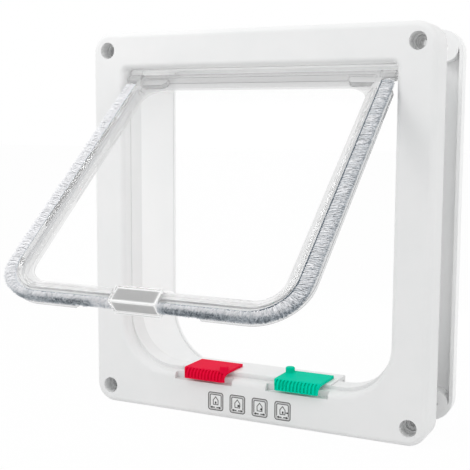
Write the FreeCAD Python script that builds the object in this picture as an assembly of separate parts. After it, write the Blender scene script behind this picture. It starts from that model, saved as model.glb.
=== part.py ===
import FreeCAD, Part
import math
import os

from FreeCAD import Vector

# Cat flap, four-way lock, for a door.  Millimetres, +X right, +Y out through the door, +Z up.
# Origin: centre of the four screw holes, where the front frame seats on the indoor door face.
# It is drawn with y counted from the indoor face of the frame and moved back at the end.
# An outline is (half width, bottom z, top z, bottom corner radius, top corner radius).

os.makedirs("parts", exist_ok=True)

# front frame
FRAME_W = 234.0
FRAME_H = 250.5
FRAME_R = 13.0
FRAME_D = 20.8
EDGE_R = 3.5
FACE_T = 2.6
WALL_T = 2.4
SCREW_INSET = 11.5
SCREW_R = 2.15
HEAD_R = 5.3
HEAD_D = 9.0
STEP_R = 4.1
STEP_D = 3.0
BOSS_R = 7.0

# opening: the bands of the frame round it, a rounded lip in front, a collar behind it
SIDE_BAND = 23.6
HEAD_BAND = 23.45
FOOT_BAND = 26.65
LIP_R = 33.0
TOP_R = 3.0
LIP_D = 9.0
LIP_WALL = 2.6
COLLAR_STEP = 0.5
COLLAR_WALL = 1.9
COLLAR_END = 22.0
SILL_RISE = 2.2
SILL_H = 14.2
SLEEVE_R = 42.0

# rear frame with the sleeve that slides over the collar
DOOR_GAP = 39.7
REAR_D = 11.5
REAR_R = 15.0
REAR_FACE = 2.4
REAR_BOSS_R = 8.5
SLEEVE_GAP = 0.4
SLEEVE_T = 2.0
SLEEVE_START = 12.6
REAR_TOP_DROP = 4.5
GUIDE_H = 16.5
GUIDE_T = 1.8

# flap, drawn shut and then swung open about the hinge line
OPEN_DEG = 50.2
HINGE_DROP = 7.3
FLAP_Y = 5.4
PIN_DEPTH = 1.6
PIN_R = 1.5
PIN_PLAY = 0.06
EAR_R = 3.3
SEAT_T = 5.5
FLAP_SIDE_GAP = 9.3
FLAP_FOOT_GAP = 9.4
RIM_R = 22.0
RIM_ABOVE = 2.8
RIM_BAND = 3.3
RIM_SLOPE = 4.5
RIM_DEEP = 4.2
TOP_SLOPE = 0.6
FLAP_WALL = 2.0
PANE_T = 2.4
PAD_W = 13.8
PAD_H = 6.4
FLAP_T = 8.6
FLANGE_T = 2.0
FLANGE_SIDE = 6.5
FLANGE_DOWN = 4.1
FLANGE_CUT = 34.5

# pile strips and magnet case on the flap
PILE_SIDE = 7.4
PILE_DOWN = 4.0
PILE_PROUD = 1.0
PILE_THIN = 1.0
PILE_START = 6.5
CASE_HALF = 14.4
CASE_ABOVE = 7.3
CASE_BELOW = 4.1
CASE_PROUD = 0.4
CASE_WALL = 1.2
CASE_BACK_T = 1.4
CASE_TAB = 5.4

# lock rail, slides and sill magnet
RAIL_HALF = 53.0
RAIL_TOP = 3.0
RAIL_T = 2.8
RAIL_END = 35.0
RAIL_FLANGE = 6.0
LOCK_LEN = 31.2
LOCK_IN = 12.3
LOCK_OUT = 54.0
LOCK_T = 1.7
LOCK_BACK = 24.2
LOCK_FRONT = 3.6
LOCK_DROP = 6.8
LOCK_BEND = 5.0
NOTCH_DROP = 9.0
RED_X = -31.0
GREEN_X = 33.9
POST_R = 3.0
POST_H = 3.3
POST_OFF = 13.0
POST_GAP = 0.9
GRIPS = 12
GRIP_DEPTH = 0.8
RUN = 0.3
SLIDE_GAP = 0.1
NECK_LEN = 10.0
NECK_W = 3.0
CLIP_T = 1.6
CLIP_LIP = 2.4
MAGNET_LEN = 24.0
MAGNET_W = 8.0
MAGNET_H = 4.8

# derived outlines and places
LIP_HALF = FRAME_W / 2 - SIDE_BAND
LIP_BOTTOM = FOOT_BAND - FRAME_H / 2
LIP_TOP = FRAME_H / 2 - HEAD_BAND
LIP = (LIP_HALF, LIP_BOTTOM, LIP_TOP, LIP_R, TOP_R)
COLLAR_HALF = LIP_HALF - COLLAR_STEP
COLLAR_TOP = LIP_TOP - COLLAR_STEP
SILL_Z = LIP_BOTTOM + SILL_RISE
COLLAR = (COLLAR_HALF, SILL_Z, COLLAR_TOP, LIP_R - COLLAR_STEP, TOP_R)
COLLAR_OUT = (COLLAR_HALF + COLLAR_WALL, SILL_Z - SILL_H, COLLAR_TOP + COLLAR_WALL,
              SLEEVE_R, TOP_R + COLLAR_WALL)
LIP_OUT = (LIP_HALF + LIP_WALL, LIP_BOTTOM - 2.8 * LIP_WALL, LIP_TOP + LIP_WALL,
           LIP_R + LIP_WALL, TOP_R + LIP_WALL)
PLATE = (FRAME_W / 2, -FRAME_H / 2, FRAME_H / 2, FRAME_R, FRAME_R)
REAR_PLATE = (FRAME_W / 2, -FRAME_H / 2, FRAME_H / 2, REAR_R, REAR_R)
REAR_Y = FRAME_D + DOOR_GAP
REAR_END = REAR_Y + REAR_D
SCREW_X = FRAME_W / 2 - SCREW_INSET
SCREW_Z = FRAME_H / 2 - SCREW_INSET
HINGE_Y = FLAP_Y + PIN_DEPTH
HINGE_Z = LIP_TOP - HINGE_DROP
RIM_HALF = LIP_HALF - FLAP_SIDE_GAP
RIM_Z = LIP_BOTTOM + FLAP_FOOT_GAP
RIM_TOP = HINGE_Z + RIM_ABOVE
RIM = (RIM_HALF, RIM_Z, RIM_TOP, RIM_R, TOP_R)
FLAP_BACK = FLAP_Y + FLAP_T
FLANGE_Y = FLAP_BACK - FLANGE_T
PANE_BACK = FLAP_Y + RIM_DEEP + PANE_T
SIDE_TOP = HINGE_Z - PILE_START
CASE_TOP = RIM_Z + CASE_ABOVE
CASE_Z = RIM_Z - CASE_BELOW
RAIL_Z = LIP_BOTTOM + RAIL_TOP
RAIL_UNDER = RAIL_Z - RAIL_T
LOCK_UNDER = RAIL_Z + SLIDE_GAP
LOCK_TOP = LOCK_UNDER + LOCK_T
NECK_Y = LIP_D + 3.0
CLIP_X = NECK_LEN / 2 + CLIP_LIP
EAR_END = COLLAR_HALF - 1.6


def grown(outline, by):
    half, bottom, top, r_bottom, r_top = outline
    return (half + by, bottom - by, top + by, r_bottom + by, r_top + by)


def wire_of(outline, place):
    """Closed wire of an outline; place(u, v) puts its points in space."""
    half, bottom, top, r_bottom, r_top = outline
    corners = [(half, bottom, r_bottom, 1, 1), (half, top, r_top, 1, -1),
               (-half, top, r_top, -1, -1), (-half, bottom, r_bottom, -1, 1)]
    diagonal = 1 - math.sqrt(0.5)
    edges = []
    ends = []
    for turn, (u, v, r, su, sv) in enumerate(corners):
        legs = [(u - su * r, v), (u, v + sv * r)]
        if turn % 2:
            legs.reverse()
        middle = (u - su * r * diagonal, v + sv * r * diagonal)
        ends.append(legs)
        edges.append(Part.Arc(place(*legs[0]), place(*middle), place(*legs[1])).toShape())
    for turn in range(4):
        start = ends[turn][1]
        stop = ends[(turn + 1) % 4][0]
        edges.append(Part.makeLine(place(*start), place(*stop)))
    return Part.Wire(Part.__sortEdges__(edges))


def slab(outline, y0, y1):
    """Prism of an outline that stands in the door plane, from y0 to y1."""
    wire = wire_of(outline, lambda u, v: Vector(u, y0, v))
    return Part.Face(wire).extrude(Vector(0, y1 - y0, 0))


def taper(outline0, y0, outline1, y1):
    wires = [wire_of(outline0, lambda u, v: Vector(u, y0, v)),
             wire_of(outline1, lambda u, v: Vector(u, y1, v))]
    return Part.makeLoft(wires, True, True)


def ring(outer, inner, y0, y1):
    return slab(outer, y0, y1).cut(slab(inner, y0 - 1, y1 + 1))


def box(x0, x1, y0, y1, z0, z1):
    return Part.makeBox(x1 - x0, y1 - y0, z1 - z0, Vector(x0, y0, z0))


def rod_x(x0, x1, y, z, r):
    return Part.makeCylinder(r, x1 - x0, Vector(x0, y, z), Vector(1, 0, 0))


def rod_y(x, z, y0, y1, r):
    return Part.makeCylinder(r, y1 - y0, Vector(x, y0, z), Vector(0, 1, 0))


def along_x(points, x0, x1):
    """Prism along x of a closed outline in y and z; a triple of points is an arc."""
    edges = []
    here = points[0]
    for step in points[1:]:
        if len(step) == 2 and not isinstance(step[0], tuple):
            edges.append(Part.makeLine(Vector(x0, *here), Vector(x0, *step)))
            here = step
        else:
            via, stop = step
            edges.append(Part.Arc(Vector(x0, *here), Vector(x0, *via), Vector(x0, *stop)).toShape())
            here = stop
    return Part.Face(Part.Wire(edges)).extrude(Vector(x1 - x0, 0, 0))


def in_plane(points, y0, y1):
    corners = [Vector(x, y0, z) for x, z in points]
    return Part.Face(Part.makePolygon(corners + corners[:1])).extrude(Vector(0, y1 - y0, 0))


def mirrored(shape):
    return shape.mirror(Vector(0, 0, 0), Vector(1, 0, 0))


def joined(shapes):
    shapes = list(shapes)
    return shapes[0].multiFuse(shapes[1:]).removeSplitter()


def cut_all(shape, tools):
    return shape.cut(Part.makeCompound(list(tools)))


def edges_at(shape, y):
    return [e for e in shape.Edges if all(abs(v.Y - y) < 1e-6 for v in e.Vertexes)]


def screw_places():
    return [(sx * SCREW_X, sz * SCREW_Z) for sx in (-1, 1) for sz in (-1, 1)]


def both_sides(shape):
    return [shape, mirrored(shape)]


# front frame: one white moulding, hollow towards the door
def front_frame():
    body = slab(PLATE, 0, FRAME_D).cut(slab(LIP, -1, FRAME_D + 1))
    body = body.makeFillet(EDGE_R, edges_at(body, 0))
    kept = slab(LIP_OUT, FACE_T, LIP_D).fuse(slab(COLLAR_OUT, LIP_D, FRAME_D + 2))
    hollow = slab(grown(PLATE, -WALL_T), FACE_T, FRAME_D + 1).cut(kept)
    adds = [body.cut(hollow), ring(COLLAR_OUT, COLLAR, LIP_D, COLLAR_END)]
    # moulded screw tubes, and low ribs behind the face
    adds += [rod_y(x, z, FACE_T / 2, FRAME_D, BOSS_R) for x, z in screw_places()]
    rib = (FACE_T / 2, FACE_T + 4)
    for part in range(-2, 3):
        x = part * LIP_HALF / 3
        z = part * HINGE_Z / 3
        adds.append(box(x - 0.8, x + 0.8, *rib, LIP_TOP + 1, FRAME_H / 2 - 1))
        adds.append(box(x - 0.8, x + 0.8, *rib, 1 - FRAME_H / 2, LIP_OUT[1] + 1))
        adds += both_sides(box(LIP_HALF + 1, FRAME_W / 2 - 1, *rib, z - 0.8, z + 0.8))
    body = joined(adds)
    cuts = [slab(LIP, EDGE_R, LIP_D)]
    for x, z in screw_places():
        cuts += [rod_y(x, z, -1, HEAD_D, HEAD_R), rod_y(x, z, -1, HEAD_D + STEP_D, STEP_R),
                 rod_y(x, z, -1, FRAME_D + 1, SCREW_R)]
    # seat for the lock rail, the sill hollow under it, the slots and the grip notches
    under = RAIL_UNDER - 2.2
    cuts.append(box(-RAIL_HALF - 0.1, RAIL_HALF + 0.1, LIP_D, COLLAR_END + 1, RAIL_UNDER, RAIL_Z + 9))
    cuts.append(box(-RAIL_HALF - 4, RAIL_HALF + 4, LIP_D + 2, COLLAR_END + 1,
                    SILL_Z - SILL_H + 2, under))
    cuts.append(box(-MAGNET_LEN / 2 - 0.2, MAGNET_LEN / 2 + 0.2, LIP_D + 2.4,
                    LIP_D + 2.8 + MAGNET_W, under - 1, RAIL_UNDER + 1))
    reach = CLIP_X + 0.4
    slot = box(LOCK_IN + LOCK_LEN / 2 - reach, LOCK_OUT - LOCK_LEN / 2 + reach,
               LIP_D + 0.6, NECK_Y + NECK_W + 1.4, under - 1, RAIL_UNDER + 1)
    notch = box(LOCK_IN - RUN, LOCK_OUT + RUN, -1, LOCK_FRONT + 0.6,
                LOCK_TOP - NOTCH_DROP, LOCK_TOP)
    pin_hole = rod_x(LIP_HALF - 3, LIP_HALF + LIP_WALL + 1, HINGE_Y, HINGE_Z, PIN_R + 0.2)
    cuts += both_sides(slot) + both_sides(notch) + both_sides(pin_hole)
    return cut_all(body, cuts)


# rear frame: one white moulding, the sleeve runs forward over the collar
def rear_frame():
    sleeve_in = grown(COLLAR_OUT, SLEEVE_GAP)
    sleeve_out = grown(sleeve_in, SLEEVE_T)
    half, bottom, top, r_bottom, r_top = sleeve_in
    mouth = (half - SLEEVE_GAP, bottom + SLEEVE_GAP, top - REAR_TOP_DROP, r_bottom, r_top)
    shell = slab(REAR_PLATE, REAR_Y, REAR_END)
    shell = shell.makeFillet(EDGE_R, edges_at(shell, REAR_END))
    floor = REAR_END - REAR_FACE
    shell = shell.cut(slab(grown(REAR_PLATE, -WALL_T), REAR_Y - 1, floor))
    adds = [shell, slab(sleeve_out, SLEEVE_START, floor + REAR_FACE / 2)]
    adds += [rod_y(x, z, REAR_Y, floor + REAR_FACE / 2, REAR_BOSS_R) for x, z in screw_places()]
    body = joined(adds)
    cuts = [slab(sleeve_in, SLEEVE_START - 1, floor), slab(mouth, floor - 1, REAR_END + 1)]
    cuts += [rod_y(x, z, REAR_Y - 1, REAR_END + 1, SCREW_R) for x, z in screw_places()]
    body = cut_all(body, cuts)
    # raised guide pads high on both walls of the sleeve
    pad = box(half - GUIDE_T, half + SLEEVE_T / 2, COLLAR_END + 2.5, floor,
              top - GUIDE_H, top + SLEEVE_T / 2)
    return joined([body] + both_sides(pad))


# flap: one clear moulding with thin walls, a pane set back in a sloped rim, a flange
# behind the pile
def flap_panel():
    window_front = (RIM_HALF - RIM_BAND, RIM_Z + RIM_BAND + 0.6, RIM_TOP - RIM_BAND,
                    RIM_R - RIM_BAND, 2.5)
    half, bottom, top, r_bottom, r_top = window_front
    window_back = (half - RIM_SLOPE, bottom + RIM_SLOPE, top - TOP_SLOPE,
                   r_bottom - RIM_SLOPE, r_top - TOP_SLOPE)
    body = slab(RIM, FLAP_Y, FLAP_BACK)
    flange = (RIM_HALF + FLANGE_SIDE, RIM_Z - FLANGE_DOWN, SIDE_TOP, RIM_R + FLANGE_SIDE, TOP_R)
    low = RIM_Z - FLANGE_DOWN
    gap = in_plane([(-FLANGE_CUT, RIM_Z), (-FLANGE_CUT - 3, low), (-FLANGE_CUT - 3, low - 1),
                    (FLANGE_CUT + 3, low - 1), (FLANGE_CUT + 3, low), (FLANGE_CUT, RIM_Z)],
                   FLANGE_Y - 1, FLAP_BACK + 1)
    plate = slab(flange, FLANGE_Y, FLAP_BACK).cut(gap)
    ears = both_sides(rod_x(RIM_HALF - 2, EAR_END, HINGE_Y, HINGE_Z, EAR_R))
    body = joined([body, plate] + ears)
    # hollow behind the slope, open to the back, as deep as the back of the pane
    inside = grown(RIM, -FLAP_WALL)
    wedge_y = FLAP_Y + FLAP_WALL

    def core(by):
        return (RIM_HALF - by, RIM_Z + by, RIM_TOP, RIM_R - by, 1.0)

    slope = taper(core(FLAP_WALL + 0.5), wedge_y, core(FLAP_WALL + 0.9 + RIM_SLOPE), PANE_BACK)
    wedge = slab(inside, wedge_y, PANE_BACK).cut(slope)
    below = box(-RIM_HALF, RIM_HALF, FLAP_Y, FLAP_BACK, RIM_Z - 1, SIDE_TOP - 4)
    bore = rod_x(RIM_HALF + 0.4, EAR_END + 1, HINGE_Y, HINGE_Z, PIN_R + PIN_PLAY)
    cuts = [taper(window_front, FLAP_Y - 0.01, window_back, FLAP_Y + RIM_DEEP),
            slab(inside, PANE_BACK, FLAP_BACK + 1),
            wedge.common(below),
            box(-RIM_HALF - 1, RIM_HALF + 1, PANE_BACK, FLAP_BACK + 1, SIDE_TOP, RIM_TOP + 1),
            box(-CASE_HALF, CASE_HALF, FLAP_Y - 1, FLAP_BACK + 1, RIM_Z - 9, CASE_TOP)]
    body = cut_all(body, cuts + both_sides(bore))
    # gusset pads in the two upper corners of the window
    outer = window_front[0] - 0.5
    inner = window_back[0] - PAD_W
    high = window_front[2] + 0.4
    low = high - PAD_H
    pad = in_plane([(outer, high), (inner, high), (inner, low + 2.5), (inner + 2.5, low), (outer, low)],
                   FLAP_Y + 1.2, FLAP_Y + RIM_DEEP + 0.2)
    return joined([body] + both_sides(pad))


# pile strips: soft, from under the ears round the corner to the magnet case
def pile_strip():
    half = RIM_HALF + PILE_SIDE
    low = RIM_Z - PILE_DOWN
    radius = RIM_R + PILE_SIDE
    full = (half, low, SIDE_TOP, radius, TOP_R)
    crown = (half - 3.4, low + 1.4, SIDE_TOP, radius - 3.4, TOP_R)
    foot = (half - 4.0, low + 0.6, SIDE_TOP, radius - 4.0, TOP_R)
    front = FLAP_Y - PILE_PROUD
    widest = FLAP_Y + 0.4
    body = joined([taper(crown, front, full, widest), taper(full, widest, foot, FLANGE_Y)])
    cuts = [slab(RIM, front - 1, FLAP_BACK),
            box(-FRAME_W, CASE_HALF + RUN, front - 1, FLAP_BACK, -FRAME_H, FRAME_H),
            box(0, FLANGE_CUT, front - 1, FLAP_BACK, -FRAME_H, RIM_Z - PILE_THIN)]
    return cut_all(body, cuts)


# magnet case on the flap: clear front shell, clear back plate, one bar magnet
def case_front():
    outer = box(-CASE_HALF, CASE_HALF, FLAP_Y - CASE_PROUD, FLAP_BACK, CASE_Z, CASE_TOP)
    outer = outer.makeChamfer(0.5, [e for e in outer.Edges if e.CenterOfMass.y < FLAP_BACK - 1])
    inner = box(-CASE_HALF + CASE_WALL, CASE_HALF - CASE_WALL, FLAP_Y - CASE_PROUD + CASE_WALL,
                FLAP_BACK + 1, CASE_Z + CASE_WALL, CASE_TOP - CASE_WALL)
    return outer.cut(inner)


def case_back():
    tab = (CASE_HALF + 1.6, CASE_TOP - CASE_WALL, CASE_TOP + CASE_TAB, 0.5, 2.5)
    plate = box(-CASE_HALF, CASE_HALF, FLAP_BACK, FLAP_BACK + CASE_BACK_T, CASE_Z, CASE_TOP)
    return joined([plate, slab(tab, FLAP_BACK, FLAP_BACK + CASE_BACK_T)])


def flap_magnet():
    gap = CASE_WALL + 0.1
    return box(-CASE_HALF + gap, CASE_HALF - gap, FLAP_Y - CASE_PROUD + gap, FLAP_BACK,
               CASE_Z + gap, CASE_TOP - gap)


# hinge: a steel pin each side, pressed into a seat behind the jamb
def hinge_pin():
    pin = rod_x(RIM_HALF + 0.8, LIP_HALF + LIP_WALL + SEAT_T - 1, HINGE_Y, HINGE_Z, PIN_R)
    return pin.makeChamfer(0.3, [e for e in pin.Edges if len(e.Vertexes) == 1])


def hinge_seat():
    x0 = LIP_HALF + LIP_WALL
    block = box(x0, x0 + SEAT_T, FACE_T, SLEEVE_START - 2.4, HINGE_Z - 5, HINGE_Z + 5)
    return block.cut(rod_x(x0 - 1, x0 + SEAT_T - 1, HINGE_Y, HINGE_Z, PIN_R))


# lock rail: the raised strip the slides ride on, with its two slots
def lock_rail():
    top = box(-RAIL_HALF, RAIL_HALF, LIP_D, RAIL_END, RAIL_UNDER, RAIL_Z)
    lip = box(-RAIL_HALF, RAIL_HALF, RAIL_END - 2, RAIL_END, RAIL_UNDER - RAIL_FLANGE, RAIL_Z)
    body = joined([top, lip])
    front = [e for e in body.Edges if abs(e.CenterOfMass.z - RAIL_Z) < 1e-6
             and abs(e.CenterOfMass.x) < 1]
    body = body.makeFillet(0.8, front)
    reach = NECK_LEN / 2 + RUN
    slot = box(LOCK_IN + LOCK_LEN / 2 - reach, LOCK_OUT - LOCK_LEN / 2 + reach,
               NECK_Y - 0.2, NECK_Y + NECK_W + 0.2, RAIL_UNDER - 1, RAIL_Z + 1)
    pocket = box(-MAGNET_LEN / 2 - 0.1, MAGNET_LEN / 2 + 0.1, LIP_D + 2.5,
                 LIP_D + 2.7 + MAGNET_W, RAIL_UNDER - 1, RAIL_Z - 1.2)
    return cut_all(body, both_sides(slot) + [pocket])


def sill_magnet():
    y0 = LIP_D + 2.6
    return box(-MAGNET_LEN / 2, MAGNET_LEN / 2, y0, y0 + MAGNET_W,
               RAIL_Z - 1.2 - MAGNET_H, RAIL_Z - 1.2)


def magnet_cover():
    under = RAIL_UNDER - 2.2
    y0 = LIP_D + 2.0
    low = RAIL_Z - 1.2 - MAGNET_H
    cup = box(-MAGNET_LEN / 2 - 2, MAGNET_LEN / 2 + 2, y0, y0 + MAGNET_W + 2.4, low - 1.4, under)
    return cup.cut(box(-MAGNET_LEN / 2 - 0.1, MAGNET_LEN / 2 + 0.1, LIP_D + 2.5,
                       LIP_D + 2.7 + MAGNET_W, low, under + 1))


# lock slide: cap over the rail, ribbed front skirt, a post and a neck for the clip
def lock_slide(x, inward, post_y):
    front = -LOCK_FRONT
    low = LOCK_TOP - LOCK_DROP
    bend_y = front + LOCK_BEND
    bend_z = LOCK_TOP - LOCK_BEND

    def on_bend(angle, r):
        a = math.radians(angle)
        return (bend_y - r * math.cos(a), bend_z + r * math.sin(a))

    inner_r = LOCK_BEND - LOCK_T
    points = [(LOCK_BACK, LOCK_UNDER), (LOCK_BACK, LOCK_TOP - 0.4), (LOCK_BACK - 0.4, LOCK_TOP),
              (bend_y, LOCK_TOP), (on_bend(45, LOCK_BEND), (front, bend_z)),
              (front, low + 0.4), (front + 0.4, low), (front + LOCK_T, low),
              (front + LOCK_T, bend_z), (on_bend(45, inner_r), (bend_y, LOCK_UNDER)),
              (LOCK_BACK, LOCK_UNDER)]
    half = LOCK_LEN / 2
    body = along_x(points, -half, half)
    plan = wire_of((half, front, LOCK_BACK, 4.0, 1.2), lambda u, v: Vector(u, v, low - 1))
    body = body.common(Part.Face(plan).extrude(Vector(0, 0, LOCK_DROP + 2)))
    # grip grooves down the bent front, and a toothed back edge
    deep = LOCK_BEND - GRIP_DEPTH
    foot = low + 0.9
    groove = [(front - 2, foot), (front + GRIP_DEPTH, foot), (front + GRIP_DEPTH, bend_z),
              on_bend(35, deep), on_bend(70, deep), on_bend(70, LOCK_BEND + 2), (front - 2, foot)]
    pitch = LOCK_LEN / (GRIPS + 1)
    cuts = []
    for n in range(GRIPS):
        gx = (n - (GRIPS - 1) / 2) * pitch
        cuts.append(along_x(groove, gx - pitch / 4, gx + pitch / 4))
        tooth = [Vector(gx - pitch * 0.3, LOCK_BACK + 0.2, low), Vector(gx, LOCK_BACK - 0.7, low),
                 Vector(gx + pitch * 0.3, LOCK_BACK + 0.2, low)]
        cuts.append(Part.Face(Part.makePolygon(tooth + tooth[:1])).extrude(Vector(0, 0, LOCK_DROP + 1)))
    body = cut_all(body, cuts)
    post = Part.makeCylinder(POST_R, POST_H + 1, Vector(inward * POST_OFF, post_y, LOCK_TOP - 1))
    top = LOCK_TOP + POST_H
    post = post.makeChamfer(0.5, [e for e in post.Edges if abs(e.CenterOfMass.z - top) < 1e-6])
    neck = box(-NECK_LEN / 2, NECK_LEN / 2, NECK_Y, NECK_Y + NECK_W,
               RAIL_UNDER - CLIP_T - 0.6, LOCK_UNDER + 0.5)
    body = joined([body, post, neck])
    body.translate(Vector(x, 0, 0))
    return body


def lock_clip(x):
    top = RAIL_UNDER - SLIDE_GAP
    plate = box(-CLIP_X, CLIP_X, NECK_Y - 1.2, NECK_Y + NECK_W + 1.2, top - CLIP_T, top)
    hole = box(-NECK_LEN / 2, NECK_LEN / 2, NECK_Y, NECK_Y + NECK_W, top - CLIP_T - 1, top + 1)
    clip = plate.cut(hole)
    clip.translate(Vector(x, 0, 0))
    return clip


def swung(shape):
    shape = shape.copy()
    shape.rotate(Vector(0, HINGE_Y, HINGE_Z), Vector(1, 0, 0), -OPEN_DEG)
    return shape


red_post_y = FLAP_Y - CASE_PROUD - POST_GAP - POST_R
green_post_y = FLAP_BACK + CASE_BACK_T + POST_GAP + POST_R
strip = pile_strip()

nodes = {
    "front_frame": front_frame(),
    "rear_frame": rear_frame(),
    "flap_panel": swung(flap_panel()),
    "pile_strip_right": swung(strip),
    "pile_strip_left": swung(mirrored(strip)),
    "magnet_case_front": swung(case_front()),
    "magnet_case_back": swung(case_back()),
    "flap_magnet": swung(flap_magnet()),
    "hinge_pin_right": hinge_pin(),
    "hinge_pin_left": mirrored(hinge_pin()),
    "hinge_seat_right": hinge_seat(),
    "hinge_seat_left": mirrored(hinge_seat()),
    "lock_rail": lock_rail(),
    "sill_magnet": sill_magnet(),
    "magnet_cover": magnet_cover(),
    "lock_slide_red": lock_slide(RED_X, 1, red_post_y),
    "lock_slide_green": lock_slide(GREEN_X, -1, green_post_y),
    "lock_clip_red": lock_clip(RED_X),
    "lock_clip_green": lock_clip(GREEN_X),
}

for name, shape in nodes.items():
    shape.translate(Vector(0, -FRAME_D, 0))
    shape.exportStep(os.path.join("parts", name + ".step"))
    print(name, len(shape.Solids), shape.isValid(), round(shape.Volume / 1000, 2), "cm3")
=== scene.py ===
import math
import random

import bmesh
import bpy
from mathutils import Matrix, Vector


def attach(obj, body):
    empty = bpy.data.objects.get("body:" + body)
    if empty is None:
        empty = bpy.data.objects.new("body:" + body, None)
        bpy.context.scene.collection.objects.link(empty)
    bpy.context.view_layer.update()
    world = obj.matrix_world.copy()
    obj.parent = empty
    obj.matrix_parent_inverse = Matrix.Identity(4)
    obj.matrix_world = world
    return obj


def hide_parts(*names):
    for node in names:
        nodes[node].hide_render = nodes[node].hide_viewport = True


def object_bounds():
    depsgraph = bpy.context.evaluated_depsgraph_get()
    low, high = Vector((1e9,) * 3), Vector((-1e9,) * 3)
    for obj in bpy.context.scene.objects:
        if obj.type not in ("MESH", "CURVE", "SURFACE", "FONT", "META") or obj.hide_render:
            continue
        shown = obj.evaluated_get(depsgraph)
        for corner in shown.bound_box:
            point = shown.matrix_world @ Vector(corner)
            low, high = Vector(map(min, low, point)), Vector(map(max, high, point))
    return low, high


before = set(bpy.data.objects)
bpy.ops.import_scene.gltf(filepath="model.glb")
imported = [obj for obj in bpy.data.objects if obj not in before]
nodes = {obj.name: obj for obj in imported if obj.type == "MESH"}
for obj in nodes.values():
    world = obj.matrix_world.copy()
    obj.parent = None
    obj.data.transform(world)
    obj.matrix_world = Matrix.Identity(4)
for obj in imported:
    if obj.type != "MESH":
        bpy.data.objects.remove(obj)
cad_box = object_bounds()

# Front frame: the indoor half of the cat flap's frame, screwed to the door through its corners.
# It is one white ABS moulding with a spark-eroded grain that softens its highlights, and the
# flow of the plastic leaves its colour very slightly cloudy.

MM = 0.001  # sizes are in millimetres, and this turns them to metres
CLOUD_MM = 45
CLOUD_DARK, CLOUD_LIGHT = 0.3, 0.7
GLOSS_SPREAD = 0.05
GRAIN_STRENGTH = 0.6
PLASTIC_IOR = 1.54
ABS_GRAIN_MM = 0.5  # the real grain is under 0.1 mm, too fine to show, and is drawn coarser
ABS_GRAIN_DEPTH = 0.02


def linear(hex_colour):
    """The linear colour of an sRGB hex value."""
    parts = [int(hex_colour[n:n + 2], 16) / 255 for n in (1, 3, 5)]
    return [p / 12.92 if p <= 0.04045 else ((p + 0.055) / 1.055) ** 2.4 for p in parts] + [1.0]


def add(tree, kind, inputs=None, stops=(), **settings):
    """A shader node with its settings.

    An input is a value or another node's output.  Stops are a colour ramp's places and linear
    colours, from its low end to its high one.
    """
    node = tree.nodes.new("ShaderNode" + kind)
    for name, value in settings.items():
        setattr(node, name, value)
    for name, value in (inputs or {}).items():
        if isinstance(value, bpy.types.NodeSocket):
            tree.links.new(value, node.inputs[name])
        else:
            node.inputs[name].default_value = value
    if stops:
        marks = node.color_ramp.elements
        marks.remove(marks[1])
        marks[0].position, marks[0].color = stops[0]
        for place, colour in stops[1:]:
            marks.new(place).color = colour
    return node


def new_material(name):
    """A new material and its node tree, which is left empty."""
    material = bpy.data.materials.new(name)
    material.use_nodes = True
    tree = material.node_tree
    tree.nodes.clear()
    return material, tree


def finish_material(tree, shader):
    """Gives the tree its output."""
    add(tree, "OutputMaterial", {"Surface": shader.outputs[0]})


def moulded_plastic(name, light, dark, roughness, grain_mm, grain_depth, edge_mm,
                    gloss_level=0.5):
    """Opaque moulded plastic: cloudy colour, eroded grain, softly rounded edges."""
    material, tree = new_material(name)
    place = add(tree, "TexCoord").outputs["Object"]
    clouds = add(tree, "TexNoise", {"Vector": place, "Scale": 1 / (CLOUD_MM * MM),
                                    "Detail": 3.0, "Roughness": 0.55})
    colour = add(tree, "ValToRGB", {"Fac": clouds.outputs["Fac"]},
                 ((CLOUD_DARK, linear(dark)), (CLOUD_LIGHT, linear(light))))
    grain = add(tree, "TexNoise", {"Vector": place, "Scale": 1 / (grain_mm * MM),
                                   "Detail": 2.0})
    gloss = add(tree, "MapRange", {"Value": grain.outputs["Fac"],
                                   "To Min": roughness - GLOSS_SPREAD,
                                   "To Max": roughness + GLOSS_SPREAD})
    edge = add(tree, "Bevel", {"Radius": edge_mm * MM}, samples=6)
    bump = add(tree, "Bump", {"Height": grain.outputs["Fac"], "Distance": grain_depth * MM,
                              "Strength": GRAIN_STRENGTH, "Normal": edge.outputs["Normal"]})
    finish_material(tree, add(tree, "BsdfPrincipled", {
        "Base Color": colour.outputs["Color"], "Roughness": gloss.outputs["Result"],
        "IOR": PLASTIC_IOR, "Specular IOR Level": gloss_level,
        "Normal": bump.outputs["Normal"]}))
    return material


def paint(material, *names):
    """Gives these carried-over pieces one material."""
    for name in names:
        for slot in nodes[name].material_slots:
            slot.material = material


white_abs = moulded_plastic("white_abs_moulded", "#EEEEEE", "#E9EAEA", roughness=0.36,
                            grain_mm=ABS_GRAIN_MM, grain_depth=ABS_GRAIN_DEPTH, edge_mm=0.35)
paint(white_abs, "front_frame")

# Pictograms: four small signs on the face below the sill, one for each way of locking.  Each is
# a house in a double outline with a pale band, a mark by the house, and two arrows beneath.
# They are pad-printed: the ink is matt, a little uneven, and a few hundredths of a mm thick.

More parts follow.
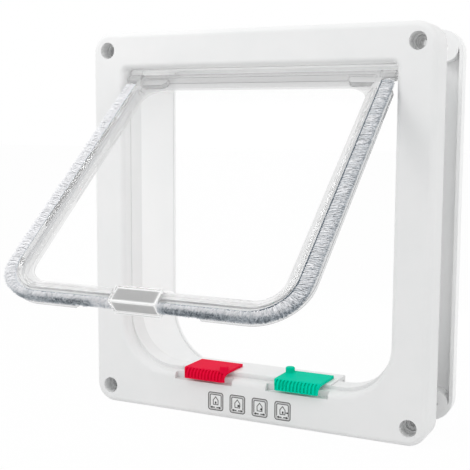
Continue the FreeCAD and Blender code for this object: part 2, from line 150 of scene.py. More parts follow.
FACE_Y = -20.8
INK, SUNK = 0.05, 0.01
SIGN_W, SIGN_H, SIGN_R = 10.6, 11.6, 1.5
SIGN_Z = -114.4
SIGN_X = (-23.6, -7.8, 8.1, 24.1)
BAND, BAND_R = 1.3, 1.2
LINE, INNER_LINE = 0.6, 0.54
INNER_LOW, INNER_TOP, INNER_CUT = -3.4, 4.4, 0.6
HOUSE = ((0, 3.0), (1.8, 0.7), (1.7, -2.2), (-1.7, -2.2), (-1.8, 0.7))
ARROW, ARROW_X, ARROW_Z = 1.5, 2.6, -4.1
HEAD_BACK, HEAD_HALF, SHAFT_BACK, SHAFT_HALF = 0.1, 0.55, 0.9, 0.2
DASH_FROM, DASH_TO, DASH_TOP, DASH_LOW = 0.6, 1.6, -3.8, -4.4
MARK_X = (0.0, 0.7, 1.2, 0.2)
MARK_W, MARK_H, MARK_R, MARK_Z = 1.1, 1.5, 0.4, -0.9
MARK_ARROWS = (None, (1.5, 0.9, 1), (0.9, 0.8, -1), (3.1, 1.3, 1))  # place, size and way
CORNER_STEPS = 5
MITRE_LIMIT = 0.5
COVER_MM = 1.2  # the pad's uneven patches, drawn larger than real ones so that they show


def rounded(half_w, half_h, r):
    """Points round a rounded rectangle in x and z."""
    points = []
    for cx, cz, start in ((1, 1, 0), (-1, 1, 90), (-1, -1, 180), (1, -1, 270)):
        for step in range(CORNER_STEPS + 1):
            a = math.radians(start + 90 * step / CORNER_STEPS)
            points.append((cx * (half_w - r) + r * math.cos(a),
                           cz * (half_h - r) + r * math.sin(a)))
    return points


def patch(mesh, outline, origin, ink=INK):
    """A flat printed field, raised by the ink's thickness."""
    ox, oz = origin
    low = [mesh.verts.new(((ox + x) * MM, (FACE_Y + SUNK) * MM, (oz + z) * MM))
           for x, z in outline]
    top = [mesh.verts.new((v.co.x, (FACE_Y - ink) * MM, v.co.z)) for v in low]
    mesh.faces.new(top)
    mesh.faces.new(low[::-1])
    for n in range(len(low)):
        m = (n + 1) % len(low)
        mesh.faces.new((low[n], low[m], top[m], top[n]))


def stroke(mesh, points, width, origin, closed=True, ink=INK):
    """A printed line along the points, mitred where it turns."""
    count = len(points)
    rails = []
    for n, (x, z) in enumerate(points):
        before = points[n - 1] if closed or n else (2 * x - points[1][0], 2 * z - points[1][1])
        after = points[(n + 1) % count] if closed or n < count - 1 else (
            2 * x - points[n - 1][0], 2 * z - points[n - 1][1])
        a = Vector((x - before[0], z - before[1])).normalized()
        b = Vector((after[0] - x, after[1] - z)).normalized()
        side = Vector((-(a.y + b.y), a.x + b.x)).normalized()
        reach = width / 2 / max(MITRE_LIMIT, side.dot(Vector((-a.y, a.x))))
        rails.append([(x + side.x * s * reach, z + side.y * s * reach) for s in (-1, 1)])
    for n in range(count if closed else count - 1):
        here, there = rails[n], rails[(n + 1) % count]
        patch(mesh, [here[0], there[0], there[1], here[1]], origin, ink)


def arrow(mesh, x, z, size, way, origin):
    """A short arrow that points left or right."""
    patch(mesh, [(x + way * size, z), (x - way * size * HEAD_BACK, z + size * HEAD_HALF),
                 (x - way * size * HEAD_BACK, z - size * HEAD_HALF)], origin)
    patch(mesh, [(x, z + size * SHAFT_HALF),
                 (x - way * size * SHAFT_BACK, z + size * SHAFT_HALF),
                 (x - way * size * SHAFT_BACK, z - size * SHAFT_HALF),
                 (x, z - size * SHAFT_HALF)], origin)


def object_from(mesh, name, material):
    """Turns the finished mesh into an object of one material."""
    bmesh.ops.recalc_face_normals(mesh, faces=mesh.faces)
    data = bpy.data.meshes.new(name)
    mesh.to_mesh(data)
    mesh.free()
    data.materials.append(material)
    piece = bpy.data.objects.new(name, data)
    bpy.context.scene.collection.objects.link(piece)
    return piece


def print_ink(name, light, dark):
    """Pad-printing ink: matt, a little uneven where the pad laid it down."""
    material, tree = new_material(name)
    place = add(tree, "TexCoord").outputs["Object"]
    cover = add(tree, "TexNoise", {"Vector": place, "Scale": 1 / (COVER_MM * MM),
                                   "Detail": 4.0})
    colour = add(tree, "ValToRGB", {"Fac": cover.outputs["Fac"]},
                 ((0.0, linear(dark)), (1.0, linear(light))))
    finish_material(tree, add(tree, "BsdfPrincipled", {
        "Base Color": colour.outputs["Color"], "Roughness": 0.6}))
    return material


def printed(mesh, name, ink):
    """Prints the finished layer of ink on the front frame."""
    layer = object_from(mesh, name, ink)
    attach(layer, "frame")


grey_ink = print_ink("grey_pad_print", "#646464", "#444444")
dark_ink = print_ink("black_pad_print", "#2E2E2E", "#161616")
pale_ink = print_ink("pale_pad_print", "#D2D2D2", "#C4C4C4")

for number, sign_x in enumerate(SIGN_X):
    origin = (sign_x, SIGN_Z)

    band = bmesh.new()
    stroke(band, rounded((SIGN_W - BAND) / 2, (SIGN_H - BAND) / 2, BAND_R), BAND, origin,
           ink=INK / 2)
    printed(band, "sign_border_%d" % (number + 1), pale_ink)

    lines = bmesh.new()
    stroke(lines, rounded(SIGN_W / 2, SIGN_H / 2, SIGN_R), LINE, origin)
    half, shoulder = SIGN_W / 2 - BAND, INNER_TOP - INNER_CUT
    stroke(lines, [(half, INNER_LOW), (half, shoulder), (half - INNER_CUT, INNER_TOP),
                   (-half + INNER_CUT, INNER_TOP), (-half, shoulder), (-half, INNER_LOW)],
           INNER_LINE, origin, closed=False)
    stroke(lines, HOUSE, INNER_LINE, origin)
    printed(lines, "sign_%d" % (number + 1), grey_ink)

    marks = bmesh.new()
    for way in (-1, 1):
        arrow(marks, way * ARROW_X, ARROW_Z, ARROW, way, origin)
        patch(marks, [(way * DASH_FROM, DASH_TOP), (way * DASH_TO, DASH_TOP),
                      (way * DASH_TO, DASH_LOW), (way * DASH_FROM, DASH_LOW)], origin)
    patch(marks, [(MARK_X[number] + x, MARK_Z + z)
                  for x, z in rounded(MARK_W / 2, MARK_H / 2, MARK_R)], origin)
    if MARK_ARROWS[number]:
        x, size, way = MARK_ARROWS[number]
        arrow(marks, x, MARK_Z, size, way, origin)
    printed(marks, "sign_mark_%d" % (number + 1), dark_ink)

# Rear frame: the outdoor half, whose long sleeve slides over the collar of the front frame to
# suit the door.  It is the same white ABS, moulded a little glossier, and its outdoor face is
# plain.  Its colour is set whiter than the front frame's: painted light that lifts the shade in
# its hollow.

# whiter than the front frame's ABS: painted light that lifts its shaded hollow
rear_abs_lit_copy = moulded_plastic("white_abs_outdoor", "#FDFDFD", "#FAFBFB", roughness=0.33,
                           grain_mm=ABS_GRAIN_MM, grain_depth=ABS_GRAIN_DEPTH, edge_mm=0.35)
paint(rear_abs_lit_copy, "rear_frame")

# Hinge: the ears of the flap turn on two ground steel pins, each held in a white acetal block
# behind the jamb.  Grinding leaves fine lines along the steel that break its reflection; they
# are drawn 0.4 mm apart, because the real ones are too fine to show.

SEAT_GRAIN_MM = 0.4
WORKED_DARK = 0.82
WORK_DEPTH, WORK_STRENGTH = 0.01, 0.4

seat_acetal = moulded_plastic("white_acetal_seat", "#E8E8E6", "#E0E0DE", roughness=0.45,
                              grain_mm=SEAT_GRAIN_MM, grain_depth=0.02, edge_mm=0.2)
paint(seat_acetal, "hinge_seat_left", "hinge_seat_right")


def worked_metal(name, colour, roughness, line_mm, line_stretch, streak):
    """Drawn or ground metal: fine lines along the bar that break the reflection."""
    material, tree = new_material(name)
    place = add(tree, "TexCoord").outputs["Object"]
    along = add(tree, "Mapping", {"Vector": place, "Scale": (line_stretch, 1.0, 1.0)})
    lines = add(tree, "TexNoise", {"Vector": along.outputs["Vector"],
                                   "Scale": 1 / (line_mm * MM), "Detail": 3.0})
    gloss = add(tree, "MapRange", {"Value": lines.outputs["Fac"], "To Min": roughness - streak,
                                   "To Max": roughness + streak})
    bright = linear(colour)
    dull = [c * WORKED_DARK for c in bright[:3]] + [1.0]
    tone = add(tree, "ValToRGB", {"Fac": lines.outputs["Fac"]}, ((0.0, dull), (1.0, bright)))
    bump = add(tree, "Bump", {"Height": lines.outputs["Fac"], "Distance": WORK_DEPTH * MM,
                              "Strength": WORK_STRENGTH})
    finish_material(tree, add(tree, "BsdfPrincipled", {
        "Base Color": tone.outputs["Color"], "Metallic": 1.0,
        "Roughness": gloss.outputs["Result"], "Normal": bump.outputs["Normal"]}))
    return material


pin_steel = worked_metal("ground_pin_steel", "#F4F4F4", roughness=0.6, line_mm=0.4,
                         line_stretch=0.1, streak=0.06)
paint(pin_steel, "hinge_pin_left", "hinge_pin_right")

# Sill: the raised rail that the slides ride on, and under it the bar magnet that holds the flap
# shut, in a cup clipped up from below.  The rail and the cup are white ABS like the frame, and
# the magnet's nickel plate is satin, with faint lines along it.

rail_abs = moulded_plastic("white_abs_rail", "#EDEDED", "#E8E9E9", roughness=0.33,
                           grain_mm=ABS_GRAIN_MM, grain_depth=ABS_GRAIN_DEPTH, edge_mm=0.3)
paint(rail_abs, "lock_rail", "magnet_cover")
bar_magnet = worked_metal("nickel_plated_magnet", "#A8AAAC", roughness=0.38, line_mm=0.6,
                          line_stretch=0.15, streak=0.08)
paint(bar_magnet, "sill_magnet")

# Lock slides: two caps over the rail, ribbed in front for a finger, each with a post that
# stands in front of the closed flap (red) or behind it (green).  They are acetal coloured in the
# mass and moulded matt, so the colour is even and deep and shows almost no reflection.

SLIDE_GRAIN_MM, SLIDE_GRAIN_DEPTH = 0.4, 0.012

red_acetal = moulded_plastic("red_acetal", "#EE103E", "#E40A38", roughness=0.5,
                             grain_mm=SLIDE_GRAIN_MM, grain_depth=SLIDE_GRAIN_DEPTH,
                             edge_mm=0.25, gloss_level=0.02)
green_acetal = moulded_plastic("green_acetal", "#00D4B0", "#00CAA6", roughness=0.5,
                               grain_mm=SLIDE_GRAIN_MM, grain_depth=SLIDE_GRAIN_DEPTH,
                               edge_mm=0.25, gloss_level=0.01)
paint(red_acetal, "lock_slide_red", "lock_clip_red")
paint(green_acetal, "lock_slide_green", "lock_clip_green")

# Flap: a clear polycarbonate moulding hung from its top edge.  It is polished, so its pane all
# but disappears.  Its rim and top bar, which are thicker, are painted greyer, and a grey line is
# painted along every edge: painted reflection, standing in for the light that the thick walls
# and the edges bend and reflect.

HINGE = Vector((0.0, -13.8, 94.5))
OPEN = math.radians(-50.2)
WINDOW_HALF, WINDOW_TOP, WINDOW_FOOT, WINDOW_R = 76.3, 6.6, 176.0, 14.2
# how the rim's and the bar's painted grey fades in, and how much more the bar has
RIM_FADE, BAR_FADE, BAR_GREY = 0.6, 2.0, 1.8  # the bar is so many times greyer than the rim
FLOW_MM, FLOW_SPREAD = 9, 0.02
EDGE_FROM, EDGE_TO = 0.99, 0.92  # the turn of the normal where an edge's line starts, is full
MOST_WALLS = 2.5
SHADOW_SHARE = 0.08
# the real index is 1.58, which turns the steep thin walls of the rim dark, so a lower one is set
PANEL_IOR = 1.17


def flap_rim(tree, place):
    """1 in the rim of the flap, more in its top bar and 0 in its window."""
    split = add(tree, "SeparateXYZ", {0: place})
    down = add(tree, "VectorMath", {0: place, 1: (0.0, math.sin(OPEN), -math.cos(OPEN))},
               operation="DOT_PRODUCT")
    half = (WINDOW_FOOT - WINDOW_TOP) / 2
    middle = (HINGE.y * math.sin(OPEN) - HINGE.z * math.cos(OPEN) + WINDOW_TOP + half) * MM
    along = add(tree, "Math", {0: down.outputs["Value"], 1: middle}, operation="SUBTRACT")
    spot = add(tree, "CombineXYZ", {"X": split.outputs["X"], "Y": along.outputs[0]})
    size = add(tree, "VectorMath", {0: spot.outputs[0]}, operation="ABSOLUTE")
    inner = ((WINDOW_HALF - WINDOW_R) * MM, (half - WINDOW_R) * MM, 0.0)
    past = add(tree, "VectorMath", {0: size.outputs[0], 1: inner}, operation="SUBTRACT")
    past = add(tree, "VectorMath", {0: past.outputs[0], 1: (0.0, 0.0, 0.0)},
               operation="MAXIMUM")
    past = add(tree, "VectorMath", {0: past.outputs[0]}, operation="LENGTH")
    rim = add(tree, "MapRange", {"Value": past.outputs["Value"], "From Min": WINDOW_R * MM,
                                 "From Max": (WINDOW_R + RIM_FADE) * MM})
    top = middle - half * MM
    bar = add(tree, "MapRange", {"Value": down.outputs["Value"],
                                 "From Min": top + BAR_FADE * MM, "From Max": top,
                                 "To Min": 1.0, "To Max": BAR_GREY})
    both = add(tree, "Math", {0: rim.outputs["Result"], 1: bar.outputs["Result"]},
               operation="MULTIPLY")
    return both.outputs[0]


def clear_plastic(name, line, line_mm, line_share, haze, roughness, ior, rim_painted_grey=0.0):
    """Clear polished plastic: faint haze, and a line of painted light along each edge."""
    material, tree = new_material(name)
    place = add(tree, "TexCoord").outputs["Object"]
    flow = add(tree, "TexNoise", {"Vector": place, "Scale": 1 / (FLOW_MM * MM), "Detail": 2.0})
    gloss = add(tree, "MapRange", {"Value": flow.outputs["Fac"], "To Min": roughness,
                                   "To Max": roughness + FLOW_SPREAD})
    soft = add(tree, "Bevel", {"Radius": line_mm * MM}, samples=8)
    flat = add(tree, "NewGeometry")
    turn = add(tree, "VectorMath", {0: soft.outputs["Normal"], 1: flat.outputs["Normal"]},
               operation="DOT_PRODUCT")
    edge = add(tree, "MapRange", {"Value": turn.outputs["Value"], "From Min": EDGE_FROM,
                                  "From Max": EDGE_TO})
    shade = edge.outputs["Result"]
    # painted reflection: the thick rim and top bar are painted greyer than the pane
    if rim_painted_grey:
        thick = add(tree, "Math", {0: flap_rim(tree, place), 1: rim_painted_grey}, operation="MULTIPLY")
        shade = add(tree, "Math", {0: shade, 1: thick.outputs[0]},
                    operation="MAXIMUM").outputs[0]
    colour = add(tree, "ValToRGB", {"Fac": shade},
                 ((0.0, linear("#FFFFFF")), (1.0, linear(line))))
    clear = add(tree, "MapRange", {"Value": shade, "To Min": 1.0 - haze,
                                   "To Max": 1.0 - line_share})
    # light passes through it to what lies behind, so its own shadow is faint, and a ray comes
    # out again after a few walls
    rays = add(tree, "LightPath")
    deep = add(tree, "Math", {0: rays.outputs["Ray Depth"], 1: MOST_WALLS},
               operation="GREATER_THAN")
    behind = add(tree, "Math", {0: rays.outputs["Is Shadow Ray"],
                                1: rays.outputs["Is Diffuse Ray"]}, operation="MAXIMUM")
    behind = add(tree, "Math", {0: behind.outputs[0], 1: deep.outputs[0]}, operation="MAXIMUM")
    solid = add(tree, "MapRange", {"Value": behind.outputs[0], "To Min": 1.0,
                                   "To Max": SHADOW_SHARE})
    finish_material(tree, add(tree, "BsdfPrincipled", {
        "Base Color": colour.outputs["Color"], "Transmission Weight": clear.outputs["Result"],
        "IOR": ior, "Roughness": gloss.outputs["Result"], "Alpha": solid.outputs["Result"]}))
    return material


# the grey of the edges, rim and bar is painted reflection
clear_panel = clear_plastic("clear_polycarbonate_flap", "#8E8F90", line_mm=0.55,
                            line_share=0.85, haze=0.04, roughness=0.0, ior=PANEL_IOR,
                            rim_painted_grey=0.22)
paint(clear_panel, "flap_panel")

# Magnet case: a clear styrene box in the middle of the flap's lower edge, welded from two
# halves round a plated bar magnet.  A painted highlight runs white along its edges, and the
# bar's grey faces show through it, with brushing lines drawn coarser than real ones so that
# they show.

CASE_IOR = 1.2  # below the real 1.59, for the same reason as the flap's

# the white along the case's edges is a painted highlight
clear_case = clear_plastic("clear_styrene_case", "#FFFFFF", line_mm=2.2, line_share=0.95,
                           haze=0.06, roughness=0.02, ior=CASE_IOR)
paint(clear_case, "magnet_case_front", "magnet_case_back")
flap_bar = worked_metal("brushed_magnet_bar", "#B4B4B4", roughness=0.5, line_mm=0.7,
                        line_stretch=0.06, streak=0.08)
paint(flap_bar, "flap_magnet")

# Pile strips: light grey-blue polypropylene pile on a woven backing, bent round the lower
# corners of the flap from below the ears to the magnet case, to keep draughts out.  The fibres
# stand out from the flap's edge in tufts that lean a little at random, and fan out round the
# corner.  Their dark blue-grey is painted shade, at their ends, along the lower edge and towards
# the back.

# the way the strip takes on the flap
PIN_DEPTH = 1.6
RIM_HALF, RIM_DROP, RIM_R = 84.1, 185.4, 22.0
STRIP_TOP = 6.5
CASE_SIDE = 14.7
THIN_END, THIN_RUN = 34.5, 3.0  # the pile is thin where the slides' posts pass under it

# how far the pile stands out down the side, along the foot and over the posts, and its profile
PILE_SIDE, PILE_DOWN, PILE_THIN = 8.8, 3.7, 3.4
PILE_FRONT, PILE_BACK = -1.0, 6.5
FULL_AT, FRONT_REACH, BACK_FALL, CORNER_FILL, FALL_POWER = 0.18, 0.6, 0.46, 0.3, 1.3
# where the pile beside the magnet case is paler, painted light from below: its start and its run
CASE_LIGHT_SPAN = {-1: (23.0, 5.0), 1: (15.0, 4.0)}

# the root; its tones and all others go from 0, pale, to 1, dark, where much of the dark is
# painted shade
ROOT_STEPS, ROOT_SHARES = 3, 8
ROOT_FOOT, ROOT_FRONT, ROOT_REACH = 0.05, 0.7, 0.74
ROOT_SHORTER, ROOT_LONGER = -0.05, 0.02
# painted shade darkens the root towards its back; its lower tone on the left is painted light
FOOT_TONE, BACK_TONE, ROOT_TONE = 0.05, 0.2, {-1: 0.05, 1: 0.2}
LOW_ROOT, LOW_ROOT_DARKER, BACK_AT, BACK_FADE = 0.3, 0.4, 1.05, 0.3

# the dark line between the rim and the pile: painted shadow of the gap, darkest down the right
BEAD_FRONT, BEAD_BACK, BEAD_IN, BEAD_OUT, BEAD_BASE = -0.12, 0.6, 0.06, 0.45, 0.6
BEAD_TONE, BEAD_TURN, BEAD_EDGE = 0.62, 0.35, 2.0
STITCH, STITCH_STEPS = 0.1, 4

# the fibres: real ones are under 0.1 mm thick, too fine to show, so they are drawn thicker
SEED = 7
FIBRE_STEP, FIBRE_ROWS, FIBRE_W = 0.46, 15, 0.42
FIBRE_SHORTEST, FIBRE_LONGEST, TIP_STRAY = 0.9, 1.02, 0.15
FIBRE_RINGS = ((0.04, FIBRE_W), (0.5, FIBRE_W), (0.85, FIBRE_W * 0.85))
FIBRE_SECTION = ((0.5, 0.0), (-0.5, 0.0), (0.0, 0.8))
FOOT_FRONT, FOOT_BACK = 0.05, 0.4
TUFTS, TUFT_STEPS, TUFT_ROWS, NEXT_STEP, NEXT_ROW = 997, 2, 3, 7, 31
TUFT_SHORT, TUFT_LONGER = 0.9, 0.13
TUFT_LEAN, LOW_LEAN, STRAY_LEAN = 0.16, 0.16, 0.09

# how dark the fibres are: down the side; at their ends and along the foot, which is painted
# shade, less of it beside the case; and in each tuft, at random
SIDE_TONE, TIP_TONE, LOW_TIP_TONE, LOW_ROOT_TONE, CASE_PAINTED_PALE = 0.16, 0.45, 0.6, 0.04, 0.27
END_FROM, END_RUN = 0.1, 0.22
DUSK_FROM, DUSK_RUN, DUSK_LEAST = 62, 14, 0.45
FRINGE_FROM, FRINGE_PALE = 0.7, 0.8
# the share of each tone kept down the left side, whose paleness is painted light
LEFT_SHARE = 0.25
TUFT_TONE, LOW_TUFT_TONE, STRAY_TONE = 0.16, 0.24, 0.16
PATCH_MM, PATCH_TONE = 1.1, 0.14


def clamp(value, least=0.0, most=1.0):
    """The value, held between its least and its most."""
    return min(most, max(least, value))


def flap_point(x, t, d):
    """A point of the open flap: x across, t back from its front face, d down from the hinge."""
    y, z = t - PIN_DEPTH, -d
    return Vector((x, HINGE.y + y * math.cos(OPEN) - z * math.sin(OPEN),
                   HINGE.z + y * math.sin(OPEN) + z * math.cos(OPEN))) * MM


def strip_path(side):
    """Stations down one side of the flap: place on its edge, way out, and fibre length."""
    corner_x, corner_d = RIM_HALF - RIM_R, RIM_DROP - RIM_R
    down = corner_d - STRIP_TOP
    arc = RIM_R * math.pi / 2
    total = down + arc + corner_x - CASE_SIDE
    count = int(total / FIBRE_STEP)
    for n in range(count + 1):
        s = total * n / count
        if s < down:
            x, d, angle = RIM_HALF, STRIP_TOP + s, 0.0
        elif s < down + arc:
            angle = (s - down) / RIM_R
            x = corner_x + RIM_R * math.cos(angle)
            d = corner_d + RIM_R * math.sin(angle)
        else:
            x, d, angle = corner_x - (s - down - arc), RIM_DROP, math.pi / 2
        turn = math.sin(angle)
        length = PILE_SIDE + (PILE_DOWN - PILE_SIDE) * turn ** 3
        length += (PILE_THIN - length) * clamp((THIN_END + THIN_RUN - x) / THIN_RUN)
        yield side * x, d, side * math.cos(angle), turn, length


def pile_profile(share, turn):
    """How far the pile stands out, from its front (share 0) to its back (1)."""
    if share < FULL_AT:
        return FRONT_REACH + (1 - FRONT_REACH) * math.sin(share / FULL_AT * math.pi / 2)
    fall = BACK_FALL - CORNER_FILL * turn
    return 1.0 - fall * ((share - FULL_AT) / (1 - FULL_AT)) ** FALL_POWER


def beyond_case_light(x, side):
    """0 beside the magnet case, where painted light from below makes the pile paler, 1 further
    out.
    """
    near, run = CASE_LIGHT_SPAN[side]
    return clamp((abs(x) - near) / run)


def tube(mesh, loops):
    """Skins a row of loops and closes both ends."""
    mesh.faces.new(loops[0])
    for near, far in zip(loops, loops[1:]):
        for k in range(len(near)):
            m = (k + 1) % len(near)
            mesh.faces.new((near[k], near[m], far[m], far[k]))
    mesh.faces.new(loops[-1][::-1])


def root_of_pile(mesh, vertex, side, rng):
    """The dense root of the pile, which closes the gaps between the fibres."""
    loops = []
    for n, (x, d, out_x, out_d, length) in enumerate(strip_path(side)):
        if n % ROOT_STEPS:
            continue
        place, out = (x, d), (out_x, out_d)
        # painted shade: darker towards the back along the lower edge, less beside the case
        dark = (LOW_ROOT + LOW_ROOT_DARKER * beyond_case_light(x, side)) * out_d
        loop = [vertex(place, out, ROOT_FOOT, ROOT_FRONT, FOOT_TONE)]
        for k in range(ROOT_SHARES + 1):
            share = k / ROOT_SHARES
            reach = length * (ROOT_REACH * pile_profile(share, out_d)
                              + rng.uniform(ROOT_SHORTER, ROOT_LONGER))
            fade = min(1.0, (BACK_AT - share) / BACK_FADE)
            loop.append(vertex(place, out, reach, ROOT_FRONT + share * (PILE_BACK - ROOT_FRONT),
                               ROOT_TONE[side] + dark * share * fade))
        loop.append(vertex(place, out, ROOT_FOOT, PILE_BACK, BACK_TONE))
        loops.append(loop)
    tube(mesh, loops)


def shadow_line_at_rim(mesh, vertex, side):
    """A thin line of stitches between the rim and the pile, dark with painted shadow of the gap.
    """
    loops = []
    for n, (x, d, out_x, out_d, _) in enumerate(strip_path(side)):
        stitch = STITCH if n % STITCH_STEPS < STITCH_STEPS / 2 else 0.0
        tone = BEAD_TONE + BEAD_TURN * clamp(BEAD_EDGE * out_x, least=-1.0) + 2 * stitch
        front = BEAD_FRONT - stitch
        loops.append([vertex((x, d), (out_x, out_d), reach, t, tone) for reach, t in
                      ((BEAD_IN, BEAD_BACK), (BEAD_IN, front), (BEAD_OUT + stitch, front),
                       (BEAD_BASE, BEAD_BACK))])
    tube(mesh, loops)


def fibres_of_pile(mesh, vertex, side, rng):
    """The fibres, in tufts that lean together: pale in front, painted shade at their ends below.
    """
    tufts = [rng.random() for _ in range(TUFTS)]
    for n, (x, d, out_x, out_d, length) in enumerate(strip_path(side)):
        way = (-out_d, out_x)
        low = max(0.0, out_d) ** 2
        # the painted shade is deepest in the middle of each half of the lower edge
        dusk = 1.0
        if low:
            dusk = beyond_case_light(x, side) * clamp((DUSK_FROM - abs(x)) / DUSK_RUN, least=DUSK_LEAST)
        # painted shade at the fibres' ends, deeper along the lower edge and less beside the case
        tip_rise = (TIP_TONE - CASE_PAINTED_PALE * low * (1 - beyond_case_light(x, side))
                    + LOW_TIP_TONE * low * dusk)
        # down the left side the tones are fainter: painted light, as light falls on that side
        # from the upper left
        shade = 1.0 if side > 0 else LEFT_SHARE + (1 - LEFT_SHARE) * low
        for row in range(FIBRE_ROWS):
            share = (row + rng.random()) / FIBRE_ROWS
            step = n // TUFT_STEPS
            tuft = tufts[(step * NEXT_STEP + (row + step) // TUFT_ROWS * NEXT_ROW) % TUFTS]
            reach = (length * pile_profile(share, out_d)
                     * rng.uniform(FIBRE_SHORTEST, FIBRE_LONGEST)
                     * (TUFT_SHORT + TUFT_LONGER * tuft))
            lean = (tuft - 0.5) * (TUFT_LEAN + LOW_LEAN * low) + rng.gauss(0, STRAY_LEAN)
            slide = rng.uniform(-0.5, 0.5) * FIBRE_STEP
            foot_t = FOOT_FRONT + share * (PILE_BACK - FOOT_BACK)
            tip_t = PILE_FRONT + share * (PILE_BACK - PILE_FRONT) + rng.gauss(0, TIP_STRAY)

            end = clamp((share - END_FROM) / END_RUN)
            fringe = max(0.0, (share - FRINGE_FROM) / (1 - FRINGE_FROM)) * low
            tip_tone = (SIDE_TONE * (1 - low) + end * tip_rise) * shade
            tip_tone *= 1 - FRINGE_PALE * fringe
            root_tone = (SIDE_TONE * (1 - low) + LOW_ROOT_TONE * end * low * dusk) * shade
            stray = ((tuft - 0.5) * (TUFT_TONE + LOW_TUFT_TONE * low)
                     + rng.uniform(-STRAY_TONE, STRAY_TONE)) * shade

            place = (x + way[0] * slide, d + way[1] * slide)
            rings = []
            for along, width in FIBRE_RINGS:
                out = (out_x + way[0] * lean * along, out_d + way[1] * lean * along)
                t = foot_t + (tip_t - foot_t) * min(1.0, along * 2)
                tone = root_tone + (tip_tone - root_tone) * along ** 2 + stray
                rings.append([
                    vertex((place[0] + way[0] * width * a, place[1] + way[1] * width * a),
                           out, reach * along, t + width * b, tone) for a, b in FIBRE_SECTION])
            out = (out_x + way[0] * lean, out_d + way[1] * lean)
            tip = vertex(place, out, reach, tip_t, tip_tone + stray)
            for k in range(len(FIBRE_SECTION)):
                m = (k + 1) % len(FIBRE_SECTION)
                for near, far in zip(rings, rings[1:]):
                    mesh.faces.new((near[k], near[m], far[m], far[k]))
                mesh.faces.new((rings[-1][k], rings[-1][m], tip))
            mesh.faces.new(rings[0][::-1])


def pile_strip(name, side, material):
    """One strip of pile: its root, the dark line at the rim and its fibres, as one piece."""
    rng = random.Random(SEED)
    mesh = bmesh.new()
    tone = mesh.verts.layers.float.new("tone")

    def vertex(place, out, reach, t, value):
        point = mesh.verts.new(flap_point(place[0] + out[0] * reach, t,
                                          place[1] + out[1] * reach))
        point[tone] = value
        return point

    root_of_pile(mesh, vertex, side, rng)
    shadow_line_at_rim(mesh, vertex, side)
    fibres_of_pile(mesh, vertex, side, rng)
    return object_from(mesh, name, material)


def pile_material(name, light, middle, dark):
    """Pile: pale where the fibres lie in the light, and dark blue-grey at their ends, painted
    shade.
    """
    material, tree = new_material(name)
    place = add(tree, "TexCoord").outputs["Object"]
    fibres = add(tree, "TexNoise", {"Vector": place, "Scale": 1 / (PATCH_MM * MM),
                                    "Detail": 3.0})
    uneven = add(tree, "MapRange", {"Value": fibres.outputs["Fac"], "From Min": 0.3,
                                    "From Max": 0.7, "To Min": -PATCH_TONE,
                                    "To Max": PATCH_TONE})
    tone = add(tree, "Attribute", attribute_name="tone")
    share = add(tree, "Math", {0: tone.outputs["Fac"], 1: uneven.outputs["Result"]},
                operation="ADD")
    colour = add(tree, "ValToRGB", {"Fac": share.outputs[0]},
                 ((0.0, linear(light)), (0.5, linear(middle)), (1.0, linear(dark))))
    finish_material(tree, add(tree, "BsdfPrincipled", {
        "Base Color": colour.outputs["Color"], "Roughness": 0.85, "Sheen Weight": 0.8,
        "Sheen Roughness": 0.4}))
    return material


# the dark end of the ramp is painted shade
grey_pile = pile_material("grey_polypropylene_pile", "#FAFAFC", "#BEC5CB", "#435361")
for side_name, side in (("left", -1), ("right", 1)):
    strip = pile_strip("pile_fibres_" + side_name, side, grey_pile)
    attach(strip, "flap")
    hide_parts("pile_strip_" + side_name)

# Studio: a plain white floor under the frame's lower edges, and a white surround that gives
# most of the light.  Four soft lamps add to it: one for the upper left of the face, one for its
# top, one from the right, and a small one behind that lights the tunnel.

FLOOR_Z = cad_box[0][2]
FLOOR_SIZE = 6.0
FLOOR_WHITE = 0.97
SKY_LIGHT, SKY_WHITE = 0.74, 0.26


def camera_white(tree, share):
    """The share for rays from the camera, from gloss and through clear plastic, else 0."""
    rays = add(tree, "LightPath")
    most = add(tree, "Math", {0: rays.outputs["Is Camera Ray"],
                              1: rays.outputs["Is Glossy Ray"]}, operation="MAXIMUM")
    most = add(tree, "Math", {0: most.outputs[0], 1: rays.outputs["Is Transmission Ray"]},
               operation="MAXIMUM")
    return add(tree, "Math", {0: most.outputs[0], 1: share}, operation="MULTIPLY").outputs[0]


floor_material, tree = new_material("white_studio_floor")
paper = add(tree, "BsdfDiffuse", {"Color": linear("#F2F2F2")})
glow = add(tree, "Emission", {"Color": linear("#FFFFFF"), "Strength": 1.0})
finish_material(tree, add(tree, "MixShader", {0: camera_white(tree, FLOOR_WHITE),
                                              1: paper.outputs[0], 2: glow.outputs[0]}))
sheet = bmesh.new()
bmesh.ops.create_grid(sheet, x_segments=1, y_segments=1, size=FLOOR_SIZE)
floor = object_from(sheet, "studio_floor", floor_material)
floor.location = (0, 0, FLOOR_Z)

world = bpy.data.worlds.new("white_surround")
bpy.context.scene.world = world
world.use_nodes = True
tree = world.node_tree
tree.nodes.clear()
lift = add(tree, "Math", {0: camera_white(tree, SKY_WHITE), 1: SKY_LIGHT}, operation="ADD")
sky = add(tree, "Background", {"Color": linear("#FFFFFF"), "Strength": lift.outputs[0]})
add(tree, "OutputWorld", {"Surface": sky.outputs[0]})


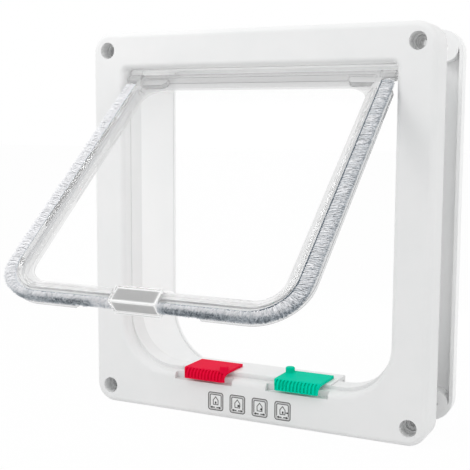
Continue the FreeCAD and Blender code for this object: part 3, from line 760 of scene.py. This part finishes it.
def soft_lamp(name, place, aim, size, power):
    """A round lamp, which lights the object and isn't seen itself."""
    data = bpy.data.lights.new(name, "AREA")
    data.shape = "DISK"
    data.size = size
    data.energy = power
    lamp = bpy.data.objects.new(name, data)
    lamp.location = place
    lamp.rotation_euler = (Vector(aim) - Vector(place)).to_track_quat("-Z", "Y").to_euler()
    lamp.visible_camera = False
    lamp.visible_glossy = False
    lamp.visible_transmission = False
    bpy.context.scene.collection.objects.link(lamp)


soft_lamp("top_left_lamp", (-0.3, -0.3, 0.46), aim=(-0.04, 0.0, 0.08), size=0.3, power=1.0)
soft_lamp("top_lamp", (0.25, -0.35, 0.55), aim=(0.05, 0.0, 0.05), size=0.4, power=0.3)
soft_lamp("tunnel_lamp", (0.07, 0.42, 0.02), aim=(-0.1, 0.02, 0.02), size=0.12, power=0.25)
soft_lamp("side_lamp", (0.8, -0.3, 0.4), aim=(0.1, 0.02, 0), size=0.5, power=0.95)

# Camera: a long lens from the right of the frame and a little above its middle, placed so that
# the frame's outline, screw holes and tunnel fall where they do in the picture.

CAMERA_PLACE = (0.2628, -0.5679, 0.0665)
YAW, PITCH, ROLL = math.radians(26.51), math.radians(6.59), math.radians(0.29)
SENSOR_MM, LENS_MM = 36.0, 74.22

right = Vector((math.cos(YAW), math.sin(YAW), 0))
level = Vector((-math.sin(YAW), math.cos(YAW), 0))
up = Vector((0, 0, 1))
ahead = level * math.cos(PITCH) - up * math.sin(PITCH)
above = up * math.cos(PITCH) + level * math.sin(PITCH)
across = right * math.cos(ROLL) + above * math.sin(ROLL)
above = above * math.cos(ROLL) - right * math.sin(ROLL)
camera_data = bpy.data.cameras.new("camera")
camera_data.sensor_width = SENSOR_MM
camera_data.lens = LENS_MM
camera_data.clip_start = 0.01
camera = bpy.data.objects.new("camera", camera_data)
turn = Matrix((across, above, -ahead)).transposed().to_4x4()
camera.matrix_world = Matrix.Translation(CAMERA_PLACE) @ turn
bpy.context.scene.collection.objects.link(camera)
bpy.context.scene.camera = camera
bpy.context.scene.view_settings.view_transform = "Standard"

bpy.context.view_layer.update()
